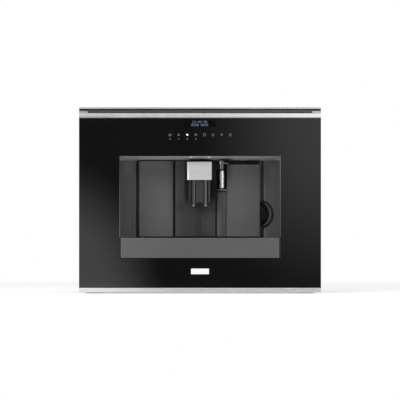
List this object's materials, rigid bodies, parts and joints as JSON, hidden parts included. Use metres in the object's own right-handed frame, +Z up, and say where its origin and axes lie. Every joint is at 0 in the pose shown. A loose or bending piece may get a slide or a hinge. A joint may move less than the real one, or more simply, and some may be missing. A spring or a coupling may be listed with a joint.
{
  "type": "built in coffee machine",
  "caption": "Built in bean to cup coffee machine with black glass front, cup niche, height adjustable spout on a service door, drip tray, on pull out runners.",
  "frame": {"origin": "middle of the footprint, at the underside of the cabinet runners, which stand on the cabinet floor", "axes": "+X to the right of someone in front of it, -Y towards them (the glass front faces -Y), +Z up"},
  "size_m": [0.595, 0.4, 0.4586],
  "materials": {
    "galvanised_runner": "zinc plated sheet",
    "galvanised_sheet": "galvanised sheet, dull",
    "black_glass": "black printed glass, polished",
    "satin_steel": "brushed steel, satin",
    "carrier_plastic": "black moulding, matt",
    "end_cap_plastic": "grey moulding, satin",
    "bare_plate": "satin, bare",
    "liner_plastic": "dark grey moulding, satin",
    "door_plastic": "dark grey moulding, satin",
    "silver_plastic": "silver lacquer, satin",
    "black_plastic": "black, glossy",
    "bright_chrome": "polished",
    "lamp_lens": "clear milky lens",
    "display_window": "blue white digits on black",
    "circuit_board": "green board with parts",
    "tray_plastic": "black moulding, satin",
    "tray_front_plastic": "grey, satin gloss",
    "tray_steel": "brushed steel",
    "float_plastic": "red",
    "smoked_clear": "smoke tinted, clear",
    "tank_clear": "clear, slightly blue",
    "grinder_plastic": "black moulding",
    "burr_steel": "hardened steel, ground",
    "motor_steel": "grey can",
    "brew_plastic": "dark grey moulding",
    "boiler_aluminium": "die cast",
    "hose_silicone": "milky silicone",
    "screw_steel": "zinc plated",
    "pin_steel": "ground",
    "pump_plastic": "ivory moulding with steel frame"
  },
  "bodies": {
    "cabinet": {"cabinet_rails": "galvanised_runner"},
    "middle_rails": {"middle_rails": "galvanised_runner"},
    "door": {"service_door": "door_plastic", "door_back": "door_plastic", "spout_cover": "silver_plastic"},
    "spout": {"spout_unit": "black_plastic", "coffee_outlets": "bright_chrome"},
    "drip_tray": {"drip_tray": "tray_plastic", "tray_front": "tray_front_plastic", "grounds_container": "tray_plastic"},
    "tray_grille": {"tray_grille": "tray_steel"},
    "level_float": {"level_float": "float_plastic"},
    "hot_water_nozzle": {"hot_water_nozzle": "bright_chrome"},
    "water_tank": {"water_tank": "tank_clear"},
    "tank_lid": {"tank_lid": "carrier_plastic"},
    "hopper_lid": {"hopper_lid": "smoked_clear"},
    "funnel_lid": {"funnel_lid": "carrier_plastic"},
    "grind_knob": {"grind_knob": "carrier_plastic"},
    "grinder_burr": {"grinder_burr": "burr_steel"},
    "brew_carriage": {"brew_carriage": "brew_plastic"},
    "brew_spindle": {"brew_spindle": "pin_steel"},
    "power_rocker": {"power_rocker": "black_plastic"},
    "machine": {"machine_rails": "galvanised_runner", "base_pan": "galvanised_sheet", "side_panel_left": "galvanised_sheet", "side_panel_right": "galvanised_sheet", "rear_panel": "galvanised_sheet", "rear_screws": "screw_steel", "top_panel": "galvanised_sheet", "inner_deck": "galvanised_sheet", "front_carrier": "carrier_plastic", "front_glass": "black_glass", "top_profile": "satin_steel", "channel_end_caps": "end_cap_plastic", "bottom_trim": "satin_steel", "niche_bezel": "satin_steel", "brand_plate": "bare_plate", "display_module": "display_window", "touch_board": "circuit_board", "niche_liner": "liner_plastic", "cup_lights": "lamp_lens", "throat_frame": "carrier_plastic", "hinge_pins": "pin_steel", "door_catch": "silver_plastic", "finger_scoop": "black_plastic", "steam_outlet": "bright_chrome", "bean_hopper": "smoked_clear", "grinder_housing": "grinder_plastic", "grinder_motor": "motor_steel", "powder_funnel": "carrier_plastic", "infuser_frame": "brew_plastic", "brew_drive": "brew_plastic", "brew_motor": "motor_steel", "coffee_boiler": "boiler_aluminium", "steam_boiler": "boiler_aluminium", "water_pump": "pump_plastic", "control_board": "circuit_board", "tank_dock": "carrier_plastic", "hoses": "hose_silicone", "inlet_socket": "carrier_plastic"}
  },
  "joints": [
    {"name": "pull_out", "type": "slide", "parent": "cabinet", "child": "machine", "axis": [0, -1, 0], "range_m": [0, 0.35]},
    {"name": "middle_rails_slide", "type": "slide", "parent": "cabinet", "child": "middle_rails", "axis": [0, -1, 0], "range_m": [0, 0.1751]},
    {"name": "door_hinge", "type": "hinge", "parent": "machine", "child": "door", "pos_m": [-0.1436, -0.095, 0.2325], "axis": [0, 0, -1], "range_deg": [0, 95]},
    {"name": "spout_height", "type": "slide", "parent": "door", "child": "spout", "axis": [0, 0, 1], "range_m": [0, 0.032]},
    {"name": "tray_pull", "type": "slide", "parent": "machine", "child": "drip_tray", "axis": [0, -1, 0], "range_m": [0, 0.29]},
    {"name": "grille_lift", "type": "slide", "parent": "drip_tray", "child": "tray_grille", "axis": [0, 0, 1], "range_m": [0, 0.03]},
    {"name": "float_rise", "type": "slide", "parent": "drip_tray", "child": "level_float", "axis": [0, 0, 1], "range_m": [0, 0.008]},
    {"name": "nozzle_pull", "type": "slide", "parent": "machine", "child": "hot_water_nozzle", "axis": [0, -1, 0], "range_m": [0, 0.03]},
    {"name": "tank_lift", "type": "slide", "parent": "machine", "child": "water_tank", "axis": [0, 0, 1], "range_m": [0, 0.252]},
    {"name": "tank_lid_hinge", "type": "hinge", "parent": "water_tank", "child": "tank_lid", "pos_m": [0.208, 0.1073, 0.4358], "axis": [-1, 0, 0], "range_deg": [0, 80]},
    {"name": "hopper_lid_hinge", "type": "hinge", "parent": "machine", "child": "hopper_lid", "pos_m": [-0.19, 0.0888, 0.4358], "axis": [-1, 0, 0], "range_deg": [0, 80]},
    {"name": "funnel_lid_hinge", "type": "hinge", "parent": "machine", "child": "funnel_lid", "pos_m": [-0.001, 0.0108, 0.4358], "axis": [-1, 0, 0], "range_deg": [0, 80]},
    {"name": "grind_setting", "type": "hinge", "parent": "machine", "child": "grind_knob", "pos_m": [-0.094, 0.012, 0.436], "axis": [0, 0, 1], "range_deg": [-60, 60]},
    {"name": "burr_spin", "type": "hinge", "parent": "machine", "child": "grinder_burr", "pos_m": [-0.188, 0.012, 0.32], "axis": [0, 0, 1], "continuous": true},
    {"name": "brew_lift", "type": "slide", "parent": "machine", "child": "brew_carriage", "axis": [0, 0, 1], "range_m": [0, 0.04]},
    {"name": "spindle_turn", "type": "hinge", "parent": "machine", "child": "brew_spindle", "pos_m": [0, 0.016, 0.225], "axis": [0, 0, 1], "range_deg": [0, 1441]},
    {"name": "power_rocker_tilt", "type": "hinge", "parent": "machine", "child": "power_rocker", "pos_m": [-0.15, 0.192, 0.07], "axis": [-1, 0, 0], "range_deg": [0, 20]}
  ],
  "couplings": [
    {"joint": "middle_rails_slide", "follows": "pull_out", "ratio": 0.5},
    {"joint": "spindle_turn", "follows": "brew_lift", "rad_per_m": 628.32}
  ]
}
